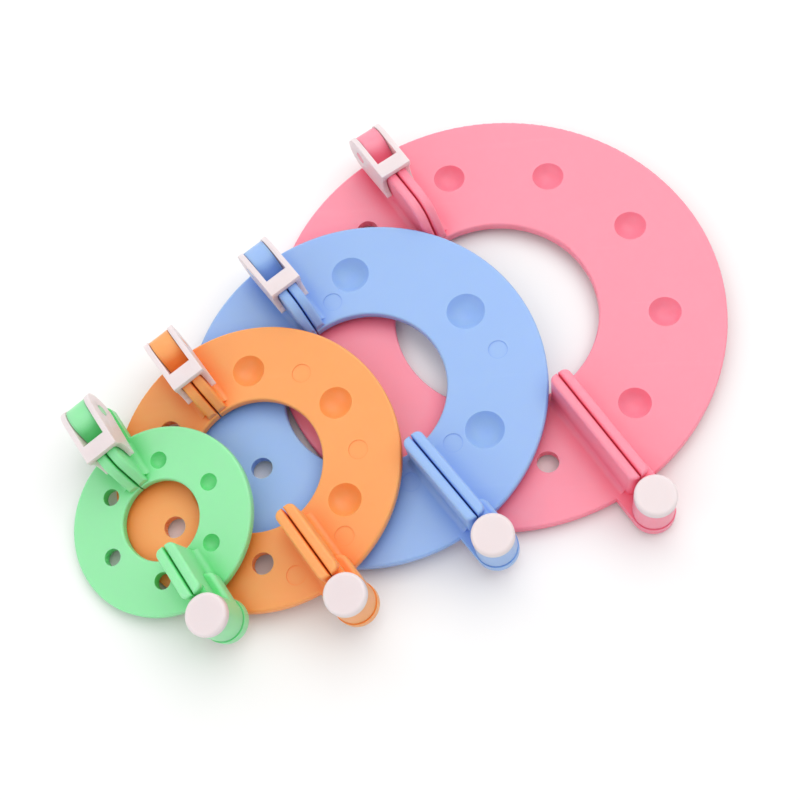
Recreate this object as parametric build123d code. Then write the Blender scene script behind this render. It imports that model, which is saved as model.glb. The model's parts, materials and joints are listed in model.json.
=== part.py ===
from build123d import *
import os

# Four pompom makers, each one hinged half-frame, in a leaning pile on a table.
# Every maker is modelled flat in its own frame and then placed:
# origin at the ring's centre on the plate's underside, hinge along +X, latch along -X,
# the pegged arm on +Y, the holed arm on -Y, Z up.

PLATE = 2.0            # plate thickness
PLATE_EDGE = 0.45      # rounding of the plate's edges
ARM_GAP = 0.3          # gap between the two arms of one maker
RIB = 1.95             # rib thickness
RIB_TOP = 10.4         # height of a rib's top edge
RIB_FOOT = 1.2         # foot fillet of a rib
RIB_CREST = 0.6        # rounding of a rib's top edge
RIB_END = 1.3          # rounding of a rib's ends, seen from above
RIB_FALL = 4.0         # length over which a rib falls to the plate by the latch
RIB_BEND = 6.0         # radius of the bend where the fall starts
RIB_NOSE = 3.2         # height of the rib's nose at the inner rim
RIB_BURY = 0.3         # the ribs start this far above the plate's underside
RIB_INSET = 0.25       # from the inner rim to a rib's end
RIB_STOP = 0.45        # gap from the hinge rib's end to the upper ear
PEG_HEIGHT = 1.3       # how far a peg stands below the plate
PEG_CHAMFER = 0.3
MARK_R = 1.9           # ejector mark
MARK_DEPTH = 0.12

EAR_REACH = 5.25       # pivot's distance beyond the ring's rim
EAR_R = 4.15           # lower ear, at plate level
BOSS_R = 3.9           # upper ear, above the lower one
BOSS_TOP = 8.7
EAR_LIFT = 0.2         # gap between the two ears
EAR_ROOM = 0.3         # gap round the lower ear in the other arm
PAD_TOP = 5.2          # pad that ties the upper ear to its plate
PAD_START = 3.2        # the pad starts this far inside the rim
PAD_ROUND = 0.9        # rounding of the pad's top edge
PIN_R = 1.9
PIN_RUN = 0.06         # running clearance round the pin in the lower ear
PIN_HEAD_R = 2.7
PIN_HEAD = 0.8
HEAD_POCKET_R = 3.0
HEAD_POCKET = 1.1
HEAD_SINK = 0.1        # the pin's head sits this far inside its pocket
CAP_R = 3.95
CAP_TOP = 10.4
CAP_BEVEL = 0.6

TRUNNION_Z = 7.8
TRUNNION_R = 1.2
TRUNNION_RUN = 0.08
HEAD_R = 3.85          # round head that the latch turns on
HEAD_HALF = 2.15       # half of its width
HEAD_SLOPE = 5.6       # the head slopes down to here, from the latch axis
HEAD_SLOPE_Z = 7.0
HEAD_LIFT = 0.3        # gap from the head to the other arm's plate
TONGUE_END = 3.2       # the tongue ends this far beyond the latch axis
TONGUE_ROUND = 1.2     # rounding of the tongue's corners
TAB_GAP = 0.4          # gap from the tongue to the other arm's rim
CHEEK_R = 4.1
CHEEK_IN = 2.3         # inner face of a cheek, from the split plane
CHEEK_OUT = 3.35       # outer face
WEB_START = 6.0        # from the latch axis to the web's outer edge
WEB_END = 9.2
WEB_BOTTOM = 10.6
WAIST = 8.6            # a prong's inner edge is hollowed back to here
PRONG_END = 9.8        # from the latch axis to a prong's tip
PRONG_TIP = 1.1        # height of a prong's tip
PRONG_RISE = 1.0       # a prong's lower edge rises by this much to its tip
LATCH_EDGE = 0.25      # rounding of the latch's outer edges

# outer radius, inner radius, centre (x, y, z), heading and lean of each maker, then the peg
# circle, the peg angles from the hinge, the dimple, peg and hole radii, the latch axis beyond
# the rim, half of the tongue's width, and the ejector marks as (radius, angle from the hinge)
MAKERS = {
    "large": dict(outer=45.0, inner=20.2, centre=(18.905, 10.892, 1.093), heading=-56.4, lean=1.39,
                  ring=33.0, angles=(18, 54, 90, 126, 162), dimple=3.2, peg=2.0, hole=2.15,
                  latch=-1.6, tongue=2.05, marks=()),
    "medium": dict(outer=35.4, inner=16.0, centre=(-6.785, -5.458, 3.238), heading=-52.9, lean=4.4,
                   ring=25.0, angles=(30, 90, 150), dimple=3.8, peg=1.95, hole=2.1,
                   latch=-3.1, tongue=2.05, marks=((20.1, 162), (26.8, 67), (20.8, 17.5), (21.3, -12.6))),
    "small": dict(outer=28.2, inner=13.1, centre=(-27.275, -20.808, 4.159), heading=-54.5, lean=8.5,
                  ring=19.2, angles=(30, 90, 150), dimple=3.2, peg=1.95, hole=2.1,
                  latch=-1.05, tongue=2.05, marks=((19.8, 118), (20.1, 59), (22.9, 14), (23.2, -14.5))),
    "mini": dict(outer=18.2, inner=7.8, centre=(-44.695, -31.188, 4.227), heading=-56.3, lean=13.55,
                 ring=11.6, angles=(30, 90, 150), dimple=1.7, peg=1.5, hole=1.65,
                 latch=4.6, tongue=3.3, marks=()),
}


def box(x0, x1, y0, y1, z0, z1):
    return Pos((x0 + x1) / 2, (y0 + y1) / 2, (z0 + z1) / 2) * Box(x1 - x0, y1 - y0, z1 - z0)


def rod(radius, z0, z1, x=0.0, y=0.0):
    return Pos(x, y, (z0 + z1) / 2) * Cylinder(radius, z1 - z0)


def cross_rod(radius, x, z, y0, y1):
    return Pos(x, (y0 + y1) / 2, z) * Rot(90, 0, 0) * Cylinder(radius, y1 - y0)


def upright(outline, y0, y1):
    """A closed outline in the XZ plane, extruded from y0 to y1."""
    face = Plane.XZ * make_face(outline)
    return Pos(0, y1, 0) * extrude(face, y1 - y0)


def half_plate(m, side):
    """Half of the flat ring, with rounded rims, on one side of the split."""
    middle = (m["outer"] + m["inner"]) / 2
    section = RectangleRounded(m["outer"] - m["inner"], PLATE, PLATE_EDGE)
    ring = revolve(Plane.XZ * Pos(middle, PLATE / 2) * section, Axis.Z)
    reach = m["outer"] + 1
    if side > 0:
        return ring & box(-reach, reach, ARM_GAP / 2, reach, -1, PLATE + 1)
    return ring & box(-reach, reach, -reach, -ARM_GAP / 2, -1, PLATE + 1)


def hinge_rib(m, side):
    """A thin wall along the split, round at its ends from above, with a rounded crest."""
    near = ARM_GAP / 2
    start = m["inner"] + RIB_INSET
    end = m["outer"] + EAR_REACH - BOSS_R - RIB_STOP
    plan = make_face(Polyline((start, near), (end, near), (end, near + RIB), (start, near + RIB), close=True))
    plan = fillet(plan.vertices().group_by(Axis.Y)[-1], RIB_END)
    wall = Pos(0, 0, RIB_BURY) * extrude(plan, RIB_TOP - RIB_BURY)
    wall = fillet(wall.faces().sort_by(Axis.Z)[-1].edges(), RIB_CREST)
    return wall if side > 0 else mirror(wall, Plane.XZ)


def rib_start(m):
    """Where the ribs start under the latch, from the ring's centre."""
    return -(m["outer"] + m["latch"]) + HEAD_SLOPE + TAB_GAP


def latch_rib(m, side):
    """The same kind of wall under the latch, falling to the plate at the inner rim."""
    near = ARM_GAP / 2
    start = rib_start(m)
    inner = -(m["inner"] + RIB_INSET)
    outline = make_face(Polyline((inner, RIB_BURY), (start, RIB_BURY), (start, RIB_TOP),
                                 (inner - RIB_FALL, RIB_TOP), (inner, RIB_NOSE), close=True))
    bend = outline.vertices().filter_by(lambda v: v.Y > RIB_TOP - 0.1).sort_by(Axis.X)[-1]
    outline = fillet(bend, RIB_BEND)
    wall = upright(outline.wire().edges(), near, near + RIB)
    crest = [e for e in wall.edges() if e.center().Z > RIB_NOSE and abs(e.tangent_at(0.5).Y) < 0.5]
    wall = fillet([e for e in crest if e.center().X > start + 0.1], RIB_CREST)
    return wall if side > 0 else mirror(wall, Plane.XZ)


def foot(x0, x1, side):
    """The concave fillet along a rib's outer foot."""
    far = ARM_GAP / 2 + RIB
    bury = 0.3
    sag = RIB_FOOT * (1 - 0.5 ** 0.5)
    curve = ThreePointArc((far, PLATE + RIB_FOOT), (far + sag, PLATE + sag), (far + RIB_FOOT, PLATE))
    back = Polyline((far + RIB_FOOT, PLATE), (far + RIB_FOOT, PLATE - bury), (far - bury, PLATE - bury),
                    (far - bury, PLATE + RIB_FOOT), (far, PLATE + RIB_FOOT))
    strip = extrude(Plane.YZ * make_face([curve] + back.edges()), x1 - x0)
    strip = Pos(x0, 0, 0) * strip
    return strip if side > 0 else mirror(strip, Plane.XZ)


def with_ribs(arm, m, side):
    """Adds both ribs and their outer feet to an arm."""
    inset = 1.4
    arm = arm + hinge_rib(m, side) + latch_rib(m, side)
    arm = arm + foot(m["inner"] + inset, m["outer"] - 0.4 * inset, side)
    return arm + foot(rib_start(m) + 0.1, -m["inner"] - inset, side)


def on_plate(radius, angle):
    return Vector(radius, 0, 0).rotate(Axis.Z, angle)


def spots(m, side):
    """Points on the peg circle of one arm."""
    return [on_plate(m["ring"], side * a) for a in m["angles"]]


def dimple_cutter(radius, depth, spot):
    """A ball that leaves a dimple of this radius and depth in the plate's top."""
    ball = (radius ** 2 + depth ** 2) / (2 * depth)
    return Pos(spot.X, spot.Y, PLATE + ball - depth) * Sphere(ball)


def ejector_marks(m, side):
    """The faint discs that ejector pins leave in the plate's top."""
    discs = []
    for radius, angle in m["marks"]:
        if angle * side > 0:
            spot = on_plate(radius, angle)
            discs.append(rod(MARK_R, PLATE - MARK_DEPTH, PLATE + 1, spot.X, spot.Y))
    return discs


def pegged_arm(m):
    """The arm with dimples over pegs, the upper ear and the head that carries the latch."""
    arm = half_plate(m, 1)
    arm = with_ribs(arm, m, 1)
    for spot in spots(m, 1):
        peg = rod(m["peg"], -PEG_HEIGHT, PLATE / 2, spot.X, spot.Y)
        arm = arm + chamfer(peg.edges().group_by(Axis.Z)[0], PEG_CHAMFER)
    for spot in spots(m, 1):
        arm = arm - dimple_cutter(m["dimple"], m["peg"], spot)
    for disc in ejector_marks(m, 1):
        arm = arm - disc
    pivot = m["outer"] + EAR_REACH
    arm = arm - rod(EAR_R + EAR_ROOM, -1, PLATE + EAR_LIFT, pivot)
    return arm + upper_ear(m) + latch_head(m) - rod(PIN_R, -1, BOSS_TOP + 1, pivot)


def upper_ear(m):
    pivot = m["outer"] + EAR_REACH
    floor = PLATE + EAR_LIFT
    near = ARM_GAP / 2
    far = BOSS_R - 0.1
    start = m["outer"] - PAD_START
    boss = rod(BOSS_R, floor, BOSS_TOP, pivot)
    pad = box(start, pivot, near, far, floor, PAD_TOP)
    pad = fillet(pad.edges().filter_by(Axis.Z).group_by(Axis.X)[0].sort_by(Axis.Y)[-1], 2 * PAD_ROUND)
    pad = fillet(pad.edges().filter_by(Axis.X).group_by(Axis.Z)[-1].sort_by(Axis.Y)[-1], PAD_ROUND)
    base = box(start + 0.4, m["outer"] - 0.6, near, far - 2 * PAD_ROUND, PLATE / 2, floor)
    root = box(pivot - BOSS_R - 1.5, pivot - 1, near, near + RIB, floor, BOSS_TOP)
    return boss + pad + base + root


def latch_head(m):
    """The tongue, the round head on it and the trunnions that the latch turns on."""
    rim = m["outer"]
    axis = -(rim + m["latch"])
    tongue = box(axis - TONGUE_END, axis + HEAD_SLOPE, -m["tongue"], m["tongue"], 0, PLATE)
    tongue = fillet(tongue.edges().filter_by(Axis.Z).group_by(Axis.X)[0], TONGUE_ROUND)
    shoulder = HEAD_R * 0.5 ** 0.5
    back = axis - TONGUE_END
    wedge = Polyline((back, PLATE / 2), (back, TRUNNION_Z), (axis, TRUNNION_Z),
                     (axis + shoulder, TRUNNION_Z + shoulder), (axis + HEAD_SLOPE, HEAD_SLOPE_Z),
                     (axis + HEAD_SLOPE, PLATE / 2), close=True)
    head = cross_rod(HEAD_R, axis, TRUNNION_Z, -HEAD_HALF, HEAD_HALF) + upright(wedge, -HEAD_HALF, HEAD_HALF)
    pins = cross_rod(TRUNNION_R, axis, TRUNNION_Z, -CHEEK_OUT, CHEEK_OUT)
    other_arm = rod(rim + TAB_GAP, -1, PLATE + HEAD_LIFT) & box(-rim - 1, 0, -rim, ARM_GAP / 2, -1, RIB_TOP)
    return tongue + head - other_arm + pins


def holed_arm(m):
    """The arm with the alignment holes and the lower ear."""
    arm = half_plate(m, -1)
    arm = with_ribs(arm, m, -1)
    pivot = m["outer"] + EAR_REACH
    ear = rod(EAR_R, 0, PLATE, pivot)
    neck = box(m["outer"] - 3, pivot, -EAR_R, -ARM_GAP / 2, 0, PLATE)
    arm = arm + ear + neck
    arm = arm - rod(PIN_R + PIN_RUN, -1, PLATE + 1, pivot) - rod(HEAD_POCKET_R, -1, HEAD_POCKET, pivot)
    for disc in ejector_marks(m, -1):
        arm = arm - disc
    for spot in spots(m, -1):
        arm = arm - rod(m["hole"], -1, PLATE + 1, spot.X, spot.Y)
    return arm


def pivot_cap(m):
    """The cap, its shank through both ears and the small head that holds them together."""
    pivot = m["outer"] + EAR_REACH
    top = HEAD_POCKET - HEAD_SINK
    button = rod(CAP_R, BOSS_TOP, CAP_TOP, pivot)
    button = fillet(button.edges().group_by(Axis.Z)[-1], CAP_BEVEL)
    shank = rod(PIN_R, top - PIN_HEAD, BOSS_TOP + 1, pivot)
    head = rod(PIN_HEAD_R, top - PIN_HEAD, top, pivot)
    return button + shank + chamfer(head.edges().group_by(Axis.Z)[0], PEG_CHAMFER)


def latch(m):
    """Two cheeks on the trunnions, a web over the ribs' ends and two prongs beside them."""
    axis = -(m["outer"] + m["latch"])
    top = TRUNNION_Z + CHEEK_R
    bottom = TRUNNION_Z - CHEEK_R
    web_in = axis + WEB_END
    tip = axis + PRONG_END
    rise = bottom + PRONG_RISE + PRONG_TIP
    outline = [
        ThreePointArc((axis, top), (axis - CHEEK_R, TRUNNION_Z), (axis, bottom)),
        Line((axis, bottom), (axis + HEAD_SLOPE, bottom)),
        Line((axis + HEAD_SLOPE, bottom), (tip, bottom + PRONG_RISE)),
        Line((tip, bottom + PRONG_RISE), (tip, rise)),
        ThreePointArc((tip, rise), (axis + WAIST, (rise + WEB_BOTTOM) / 2), (web_in, WEB_BOTTOM)),
        Line((web_in, WEB_BOTTOM), (web_in, top)),
        Line((web_in, top), (axis, top)),
    ]
    wide = upright(outline, -CHEEK_OUT, CHEEK_OUT)
    rims = [e for e in wide.edges() if abs(e.tangent_at(0.5).Y) < 0.5]
    wide = fillet(rims, LATCH_EDGE)
    reach = CHEEK_R + 1
    slot = box(axis - reach, tip + 1, -CHEEK_IN, CHEEK_IN, -1, WEB_BOTTOM)
    slot = slot + box(axis - reach, axis + WEB_START, -CHEEK_IN, CHEEK_IN, -1, top + 1)
    return wide - slot - cross_rod(TRUNNION_R + TRUNNION_RUN, axis, TRUNNION_Z, -reach, reach)


def placed(shape, m):
    x, y, z = m["centre"]
    return Pos(x, y, z) * Rot(0, 0, m["heading"]) * Rot(m["lean"], 0, 0) * shape


os.makedirs("parts", exist_ok=True)
for name, m in MAKERS.items():
    for make in (pegged_arm, holed_arm, pivot_cap, latch):
        export_step(placed(make(m), m), f"parts/{name}_{make.__name__}.step")
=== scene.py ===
import bpy, json, math
from mathutils import Matrix, Vector


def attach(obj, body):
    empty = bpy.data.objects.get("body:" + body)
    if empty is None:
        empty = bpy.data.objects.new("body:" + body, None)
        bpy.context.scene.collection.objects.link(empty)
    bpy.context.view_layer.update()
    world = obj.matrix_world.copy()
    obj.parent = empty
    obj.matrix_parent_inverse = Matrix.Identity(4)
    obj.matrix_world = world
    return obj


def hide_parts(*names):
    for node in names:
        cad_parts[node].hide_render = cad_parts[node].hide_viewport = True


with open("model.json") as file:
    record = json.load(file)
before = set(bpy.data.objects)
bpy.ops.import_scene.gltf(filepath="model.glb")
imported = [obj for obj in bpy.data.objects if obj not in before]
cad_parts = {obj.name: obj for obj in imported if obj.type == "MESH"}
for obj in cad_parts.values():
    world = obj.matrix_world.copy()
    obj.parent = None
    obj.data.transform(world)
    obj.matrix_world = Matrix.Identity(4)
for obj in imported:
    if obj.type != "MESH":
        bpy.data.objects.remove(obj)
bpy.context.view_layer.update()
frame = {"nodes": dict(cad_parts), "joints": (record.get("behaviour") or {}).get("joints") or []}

mm = 0.001
sizes = ["large", "medium", "small", "mini"]
joints = {j["name"]: j for j in frame["joints"]}


class Wire:  # wraps a node socket, so that shader maths reads as plain maths
    def __init__(self, tree, socket=None):
        self.tree = tree
        self.socket = socket

    def node(self, kind, settings=None, inputs=None, output=0):
        made = self.tree.nodes.new(kind)
        for name, value in (settings or {}).items():
            setattr(made, name, value)
        for name, value in (inputs or {}).items():
            if isinstance(value, Wire):
                self.tree.links.new(value.socket, made.inputs[name])
            else:
                made.inputs[name].default_value = value
        return Wire(self.tree, made.outputs[output])

    def maths(self, operation, *values):
        return self.node("ShaderNodeMath", {"operation": operation}, dict(enumerate(values)))

    def __add__(self, other):
        return self.maths("ADD", self, other)

    def __radd__(self, other):
        return self.maths("ADD", other, self)

    def __sub__(self, other):
        return self.maths("SUBTRACT", self, other)

    def __rsub__(self, other):
        return self.maths("SUBTRACT", other, self)

    def __mul__(self, other):
        return self.maths("MULTIPLY", self, other)

    def __rmul__(self, other):
        return self.maths("MULTIPLY", other, self)

    def blend(self, low, high):  # this value mixes two colours
        return self.node("ShaderNodeMix", {"data_type": "RGBA"}, {0: self, 6: low, 7: high}, 2)


def emptyMaterial(name):
    material = bpy.data.materials.new(name)
    material.use_nodes = True
    tree = material.node_tree
    tree.nodes.clear()
    output = tree.nodes.new("ShaderNodeOutputMaterial")
    shader = tree.nodes.new("ShaderNodeBsdfPrincipled")
    tree.links.new(shader.outputs[0], output.inputs[0])
    return material, tree, shader


satin = dict(cloudSize=16.0, cloudDetail=3.0, cloudRough=0.08,
             grainSize=0.22, grainDetail=2.0, grainRough=0.06, grainDepth=0.004,
             waveSize=9.0, waveDetail=1.0, waveDepth=0.05,
             streakSize=30.0, streakDetail=4.0, streakTurn=0.6, streakStretch=(1.0, 14.0, 6.0),
             scuffFrom=0.62, scuffTo=0.78, scuffTone=0.06, scuffRough=0.1, scuffDepth=0.002,
             # painted shade settings: reach, gain, depth and samples of the occlusion mask that darkens
             # crevices
             paintedShadeReach=4.5, paintedShadeGain=1.9, paintedShadeDepth=0.75, paintedShadeSamples=6,
             roughness=0.40, noiseRoughness=0.55, refraction=1.49, glow=0.45, glowReach=2.2)


def noise(place, size, detail):
    return place.node("ShaderNodeTexNoise", {}, {
        "Vector": place, "Scale": 1 / (size * mm), "Detail": detail, "Roughness": satin["noiseRoughness"]})


def mouldedPlastic(name, look):  # soft satin moulded plastic, slightly cloudy in the body, with painted shade deepening the colour in crevices
    material, tree, shader = emptyMaterial(name)
    wire = Wire(tree)
    place = wire.node("ShaderNodeTexCoord", output="Object")
    clouds = noise(place, look["cloudSize"], look["cloudDetail"])
    grain = noise(place, look["grainSize"], look["grainDetail"])
    waves = noise(place, look["waveSize"], look["waveDetail"])
    streakPlace = wire.node("ShaderNodeMapping", {"vector_type": "POINT"}, {
        "Vector": place, "Rotation": (0.0, 0.0, look["streakTurn"]), "Scale": look["streakStretch"]})
    streaks = noise(streakPlace, look["streakSize"], look["streakDetail"])
    scuff = wire.node("ShaderNodeMapRange", {}, {
        "Value": streaks, "From Min": look["scuffFrom"], "From Max": look["scuffTo"]})
    # painted shade: where ambient occlusion finds nearby surfaces, the body colour is pushed towards a
    # deeper, darker tone
    exposed = wire.node("ShaderNodeAmbientOcclusion", {"samples": look["paintedShadeSamples"]},
                        {"Distance": look["paintedShadeReach"] * mm}, "AO")
    paintedShade = wire.maths("MINIMUM", (1 - exposed) * look["paintedShadeGain"], 1.0)
    body = clouds.blend((*look["shadeTone"], 1), (*look["mainTone"], 1))
    body = (paintedShade * look["paintedShadeDepth"]).blend(body, (*look["paintedShadeTone"], 1))
    body = (scuff * look["scuffTone"]).blend(body, (*look["paleTone"], 1))
    tree.links.new(body.socket, shader.inputs["Base Color"])
    rough = look["roughness"] + (clouds - 0.5) * look["cloudRough"] + (grain - 0.5) * look["grainRough"]
    tree.links.new((rough + scuff * look["scuffRough"]).socket, shader.inputs["Roughness"])
    height = grain * look["grainDepth"] + waves * look["waveDepth"] - scuff * look["scuffDepth"]
    bump = wire.node("ShaderNodeBump", {}, {"Height": height, "Distance": mm, "Strength": 1.0})
    tree.links.new(bump.socket, shader.inputs["Normal"])
    shader.inputs["IOR"].default_value = look["refraction"]
    shader.inputs["Subsurface Weight"].default_value = look["glow"]
    shader.inputs["Subsurface Radius"].default_value = look["glowColour"]
    shader.inputs["Subsurface Scale"].default_value = look["glowReach"] * mm
    return material


# the crease tone of each plastic is painted shade: a darker, more saturated colour for crevices
plasticLooks = dict(
    pinkPlastic=dict(satin, mainTone=(0.95, 0.30, 0.395), shadeTone=(0.93, 0.285, 0.375),
                     paintedShadeTone=(1.0, 0.13, 0.23), paleTone=(1.0, 0.6, 0.68), glowColour=(1.0, 0.35, 0.4)),
    bluePlastic=dict(satin, mainTone=(0.325, 0.50, 0.835), shadeTone=(0.305, 0.48, 0.82),
                     paintedShadeTone=(0.15, 0.32, 0.80), paleTone=(0.55, 0.72, 0.95), glowColour=(0.4, 0.55, 1.0)),
    orangePlastic=dict(satin, mainTone=(0.93, 0.39, 0.125), shadeTone=(0.92, 0.365, 0.11),
                       paintedShadeTone=(1.0, 0.21, 0.02), paleTone=(1.0, 0.6, 0.34), glowColour=(1.0, 0.5, 0.2)),
    greenPlastic=dict(satin, mainTone=(0.32, 0.80, 0.415), shadeTone=(0.295, 0.78, 0.39),
                      paintedShadeTone=(0.07, 0.66, 0.16), paleTone=(0.55, 0.93, 0.62), glowColour=(0.3, 1.0, 0.4)),
    whitePlastic=dict(satin, mainTone=(0.80, 0.70, 0.71), shadeTone=(0.78, 0.68, 0.69),
                      paintedShadeTone=(0.86, 0.62, 0.62), paleTone=(0.9, 0.86, 0.86), glowColour=(1.0, 0.85, 0.8),
                      roughness=0.36, paintedShadeDepth=0.4))
plastics = {name: mouldedPlastic(name, look) for name, look in plasticLooks.items()}
bodyColour = dict(large="pinkPlastic", medium="bluePlastic", small="orangePlastic", mini="greenPlastic")


def dress(thing, plastic):
    thing.data.materials.clear()
    thing.data.materials.append(plastics[plastic])


for size in sizes:
    for part in ("pegged_arm", "holed_arm"):
        dress(frame["nodes"][f"{size}_{part}"], bodyColour[size])
    dress(frame["nodes"][f"{size}_pivot_cap"], "whitePlastic")
print("plastics on the arms and caps")


def latchPlace(size):  # x runs inwards along the ribs, y across the split, z up from the plate
    lift = joints[f"{size}_latch_lift"]
    across = -Vector(lift["axis"]).normalized()
    up = Vector(joints[f"{size}_open"]["axis"]).normalized() * (-1 if size == "large" else 1)
    along = across.cross(up).normalized()
    spin = Matrix((along, across, up)).transposed().to_4x4()
    return Matrix.Translation(Vector(lift["pos_m"])) @ spin


latchLook = dict(  # mm, from the trunnions' centre
    cheekRadius=4.1, outer=3.35, inner=2.3, pinHole=1.28, pinSides=48,
    webStart=6.0, webEnd=9.2, webUnder=2.8,
    prongEnd=9.8, prongRise=1.0, prongTip=1.1,
    hollowRadius=4.6, hollowAhead=4.0, hollowSides=72,  # the hollow above each prong
    roundRoom=0.02, roundSegments=20,  # the round end
    softEdge=0.28, softSegments=3, sharpAngle=40, smoothAngle=32, weld=0.001)
cutters = dict(frontHalf=5.0, frontPast=2.0, hollowHalf=6.0, slotReach=9.0, slotEnd=12.0)  # mm
touch = 0.01  # mm, how close counts as the same place


def activate(thing):
    bpy.ops.object.select_all(action="DESELECT")
    thing.select_set(True)
    bpy.context.view_layer.objects.active = thing


def pickEdges(thing, wanted):  # leaves edit mode with only the wanted edges selected
    bpy.ops.object.mode_set(mode="EDIT")
    bpy.ops.mesh.select_mode(type="EDGE")
    bpy.ops.mesh.select_all(action="DESELECT")
    bpy.ops.object.mode_set(mode="OBJECT")
    points = thing.data.vertices
    for edge in thing.data.edges:
        edge.select = wanted(points[edge.vertices[0]].co, points[edge.vertices[1]].co)
    bpy.ops.object.mode_set(mode="EDIT")


def carve(thing, cutter):  # takes the cutter out of the thing
    activate(thing)
    cut = thing.modifiers.new("cut", "BOOLEAN")
    cut.operation = "DIFFERENCE"
    cut.solver = "EXACT"
    cut.object = cutter
    bpy.ops.object.modifier_apply(modifier="cut")
    bpy.data.objects.remove(cutter)


def settle(thing, place, body, node):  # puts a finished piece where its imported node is
    activate(thing)
    bpy.ops.object.mode_set(mode="EDIT")
    bpy.ops.mesh.select_all(action="SELECT")
    bpy.ops.mesh.remove_doubles(threshold=latchLook["weld"] * mm)
    bpy.ops.mesh.normals_make_consistent(inside=False)
    bpy.ops.object.mode_set(mode="OBJECT")
    bpy.ops.object.shade_smooth_by_angle(angle=math.radians(latchLook["smoothAngle"]))
    thing.matrix_world = place
    bpy.ops.object.transform_apply(location=True, rotation=True, scale=True)
    dress(thing, "whitePlastic")
    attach(thing, body)
    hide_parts(node)


def addBlock(low, high):
    low, high = Vector(low) * mm, Vector(high) * mm
    bpy.ops.object.select_all(action="DESELECT")
    bpy.ops.mesh.primitive_cube_add(size=1, location=(low + high) / 2, scale=high - low)
    bpy.ops.object.transform_apply(location=True, rotation=True, scale=True)
    return bpy.context.object


def addCrossRod(radius, x, z, sides, half):  # lies across the split
    bpy.ops.object.select_all(action="DESELECT")
    bpy.ops.mesh.primitive_cylinder_add(vertices=sides, radius=radius * mm, depth=2 * half * mm,
                                        location=(x * mm, 0, z * mm), rotation=(math.pi / 2, 0, 0))
    bpy.ops.object.transform_apply(location=True, rotation=True, scale=True)
    return bpy.context.object


def buildLatch(size):
    look = latchLook
    reach = look["cheekRadius"]
    latch = addBlock((-reach, -look["outer"], -reach), (look["prongEnd"], look["outer"], reach))
    latch.name = f"{size}Latch"
    pickEdges(latch, lambda a, b: max(a.x, b.x) < (touch - reach) * mm and abs(a.z - b.z) < touch * mm)
    roundness = (reach - look["roundRoom"]) * mm
    bpy.ops.mesh.bevel(offset=roundness, segments=look["roundSegments"], affect="EDGES")
    bpy.ops.object.mode_set(mode="OBJECT")
    pickEdges(latch, lambda a, b: min(a.x, b.x) > (look["prongEnd"] - touch) * mm
              and max(a.z, b.z) < (touch - reach) * mm)
    bpy.ops.transform.translate(value=(0, 0, look["prongRise"] * mm))  # lower edge rises to the tips
    bpy.ops.object.mode_set(mode="OBJECT")
    tip = -reach + look["prongRise"] + look["prongTip"]
    half, past = cutters["frontHalf"], cutters["frontPast"]
    carve(latch, addBlock((look["webEnd"], -half, tip), (look["prongEnd"] + past, half, reach + past)))
    carve(latch, addCrossRod(look["hollowRadius"], look["webEnd"] + look["hollowAhead"],
                             (tip + look["webUnder"]) / 2, look["hollowSides"], cutters["hollowHalf"]))
    slot = cutters["slotReach"]
    slotCorner = (-slot, -look["inner"], -slot)
    carve(latch, addBlock(slotCorner, (cutters["slotEnd"], look["inner"], look["webUnder"])))
    carve(latch, addBlock(slotCorner, (look["webStart"], look["inner"], slot)))
    carve(latch, addCrossRod(look["pinHole"], 0, 0, look["pinSides"], slot))
    activate(latch)
    soften = latch.modifiers.new("soften", "BEVEL")
    soften.width = look["softEdge"] * mm
    soften.segments = look["softSegments"]
    soften.limit_method = "ANGLE"
    soften.angle_limit = math.radians(look["sharpAngle"])
    bpy.ops.object.modifier_apply(modifier="soften")
    settle(latch, latchPlace(size), f"{size}_clasp", f"{size}_latch")


for size in sizes:
    buildLatch(size)
print("latches modelled")


stageLook = dict(floorTone=(0.93, 0.93, 0.93), floorWidth=6.0, floorDrop=0.0002, floorRoughness=0.9,
                 mottleScale=3.0, mottleDetail=2.0, mottleShade=0.995,
                 worldTone=(1.0, 1.0, 1.0, 1.0), worldGlow=0.55)


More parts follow.
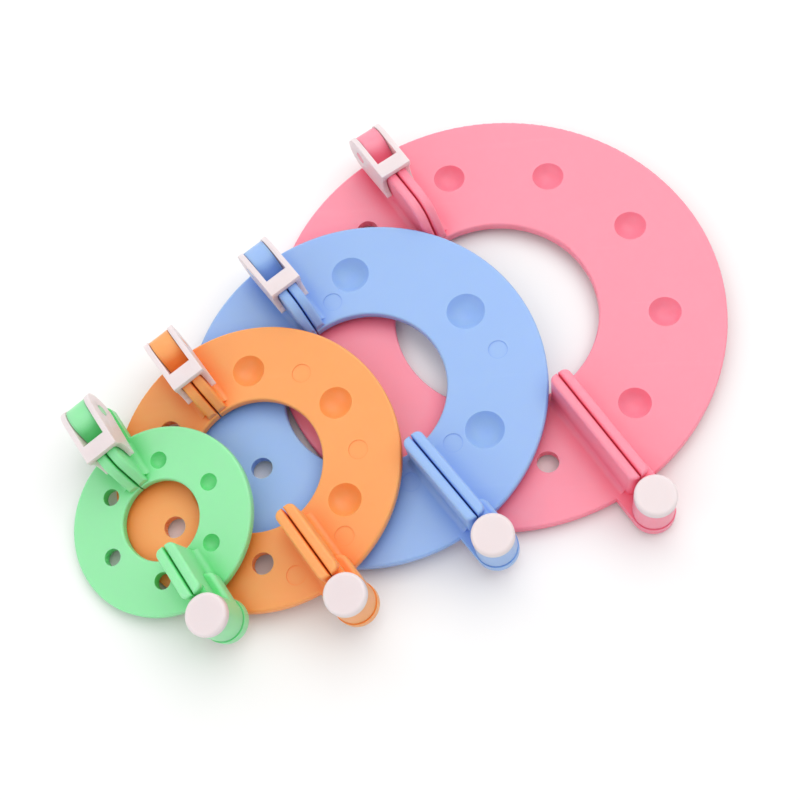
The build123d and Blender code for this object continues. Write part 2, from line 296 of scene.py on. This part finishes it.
def floorMaterial():
    material, tree, shader = emptyMaterial("paleFloor")
    wire = Wire(tree)
    place = wire.node("ShaderNodeTexCoord", output="Object")
    soft = wire.node("ShaderNodeTexNoise", {}, {
        "Vector": place, "Scale": stageLook["mottleScale"], "Detail": stageLook["mottleDetail"]})
    tone = stageLook["floorTone"]
    shade = [t * stageLook["mottleShade"] for t in tone]
    tree.links.new(soft.blend((*shade, 1), (*tone, 1)).socket, shader.inputs["Base Color"])
    shader.inputs["Roughness"].default_value = stageLook["floorRoughness"]
    return material


bpy.ops.object.select_all(action="DESELECT")
bpy.ops.mesh.primitive_plane_add(size=stageLook["floorWidth"], location=(0, 0, -stageLook["floorDrop"]))
floor = bpy.context.object
floor.name = "floor"
floor.data.materials.append(floorMaterial())

lamps = dict(
    key=dict(place=(0.30, 0.22, 0.80), power=3.9, width=0.9, tone=(1.0, 0.985, 0.97)),
    fill=dict(place=(-0.5, -0.45, 0.6), power=2.5, width=1.0, tone=(0.97, 0.985, 1.0)),
    back=dict(place=(-0.2, 0.7, 0.5), power=2.1, width=0.9, tone=(1.0, 1.0, 1.0)))
for name, lamp in lamps.items():
    light = bpy.data.lights.new(name, "AREA")
    light.energy = lamp["power"]
    light.size = lamp["width"]
    light.color = lamp["tone"]
    holder = bpy.data.objects.new(name, light)
    holder.location = lamp["place"]
    holder.rotation_euler = (-Vector(lamp["place"])).to_track_quat("-Z", "Y").to_euler()
    bpy.context.scene.collection.objects.link(holder)

world = bpy.data.worlds.new("softWorld")
world.use_nodes = True
world.node_tree.nodes["Background"].inputs["Color"].default_value = stageLook["worldTone"]
world.node_tree.nodes["Background"].inputs["Strength"].default_value = stageLook["worldGlow"]
bpy.context.scene.world = world
bpy.context.scene.view_settings.view_transform = "Standard"  # keeps the pastel colours clean

cameraLook = dict(place=(0.021017, -0.115555, 0.247355), turn=(23.842, 4.959, 0.047), lens=62.14, clip=0.01)
cameraData = bpy.data.cameras.new("camera")
cameraData.lens = cameraLook["lens"]
cameraData.clip_start = cameraLook["clip"]
camera = bpy.data.objects.new("camera", cameraData)
camera.location = cameraLook["place"]
camera.rotation_euler = [math.radians(a) for a in cameraLook["turn"]]
bpy.context.scene.collection.objects.link(camera)
bpy.context.scene.camera = camera
print("stage, lights and camera ready")
